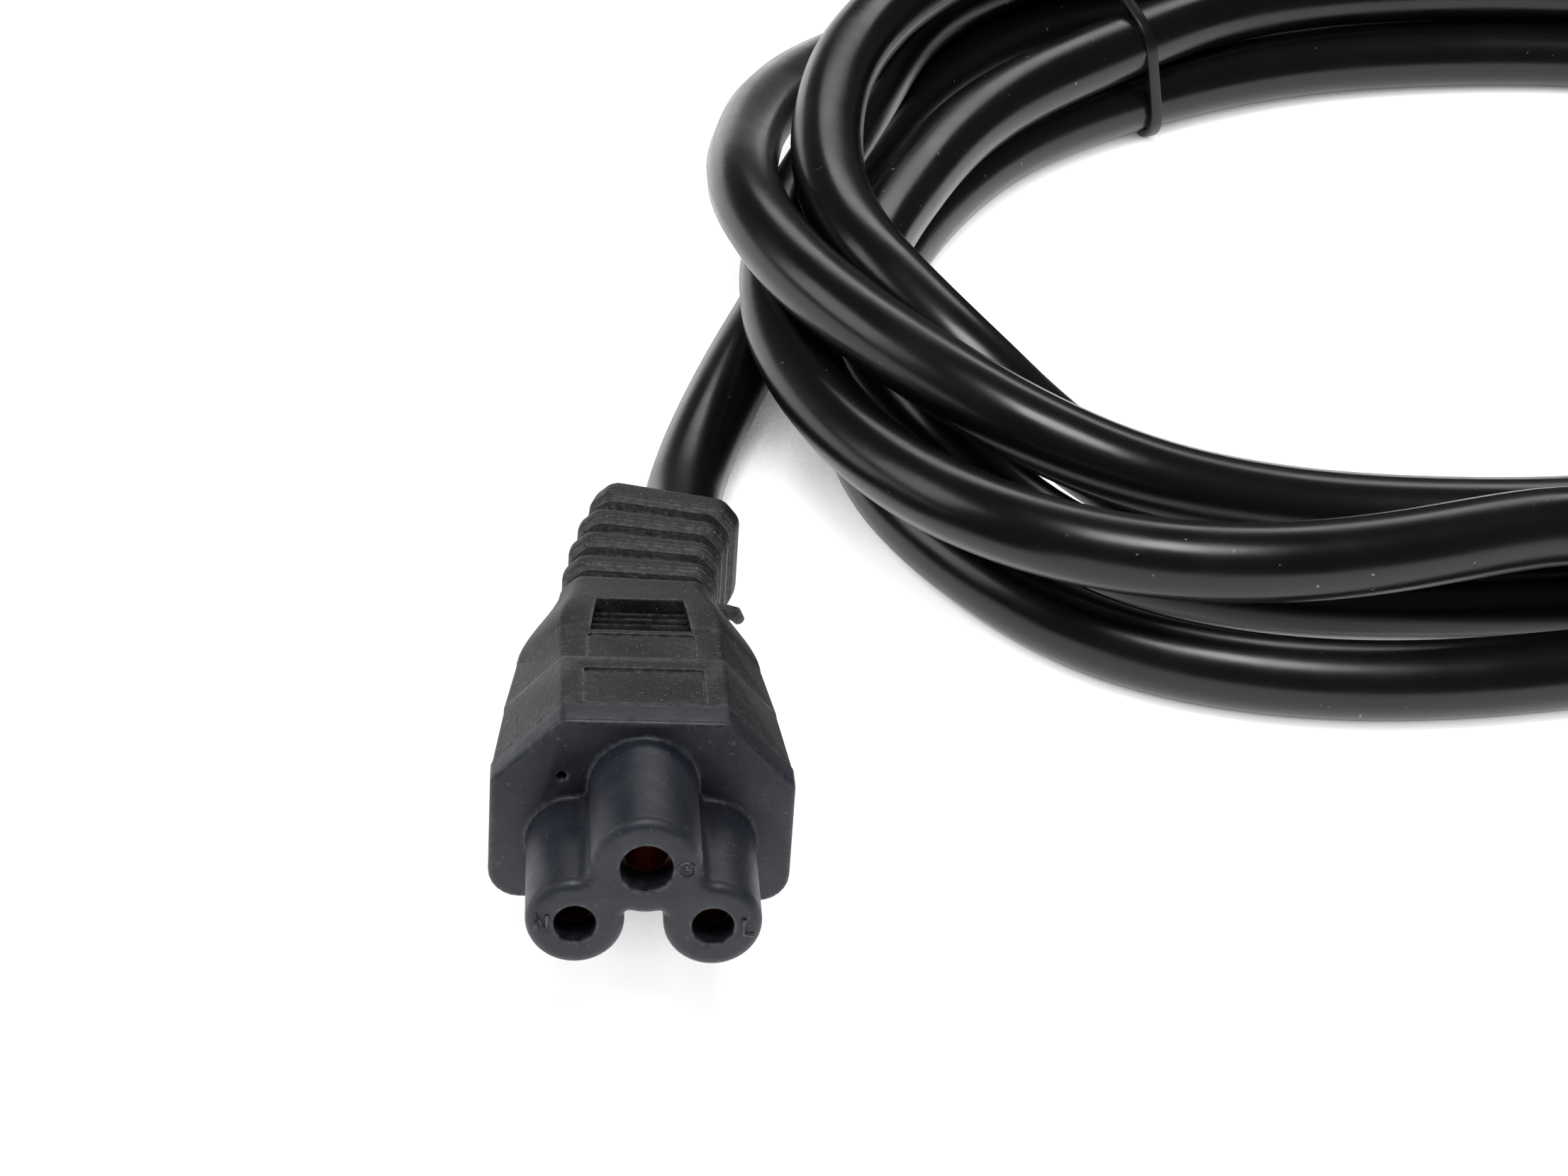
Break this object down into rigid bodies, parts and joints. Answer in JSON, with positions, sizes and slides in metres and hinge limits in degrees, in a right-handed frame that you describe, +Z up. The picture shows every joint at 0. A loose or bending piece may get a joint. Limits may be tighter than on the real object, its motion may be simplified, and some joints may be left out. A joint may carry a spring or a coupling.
{
  "type": "cloverleaf power cord",
  "caption": "Mains lead with a cloverleaf appliance connector, black round cable in a tied oval coil and an earthed moulded mains plug.",
  "frame": {"origin": "bottom centre of the connector, on the floor it lies on", "axes": "+Z up; the connector's nose points along -Y and is tipped up by 10.6 degrees; +X is the connector's right side, seen from behind it with its label side up"},
  "size_m": [0.2175, 0.1476, 0.05],
  "materials": {
    "insert_plastic": "smooth moulded, bluish slate black, faint surface haze",
    "body_plastic": "fine leathery moulded grain, soft sheen",
    "cable_plastic": "satin black sheath with soft highlights",
    "tie_plastic": "thin satin black band",
    "contact_brass": "bare drawn brass",
    "plug_metal": "nickel plated"
  },
  "bodies": {
    "root": {"connector_insert": "insert_plastic", "connector_body": "body_plastic", "contact_line": "contact_brass", "contact_neutral": "contact_brass", "contact_earth": "contact_brass", "cord_lead": "cable_plastic", "cord_coil": "cable_plastic", "cord_tail": "cable_plastic", "tie_band": "tie_plastic", "plug_body": "body_plastic", "plug_face": "insert_plastic", "plug_pin_left": "plug_metal", "plug_pin_right": "plug_metal", "plug_earth_socket": "plug_metal", "plug_clip_lower": "plug_metal", "plug_clip_upper": "plug_metal"}
  },
  "joints": []
}
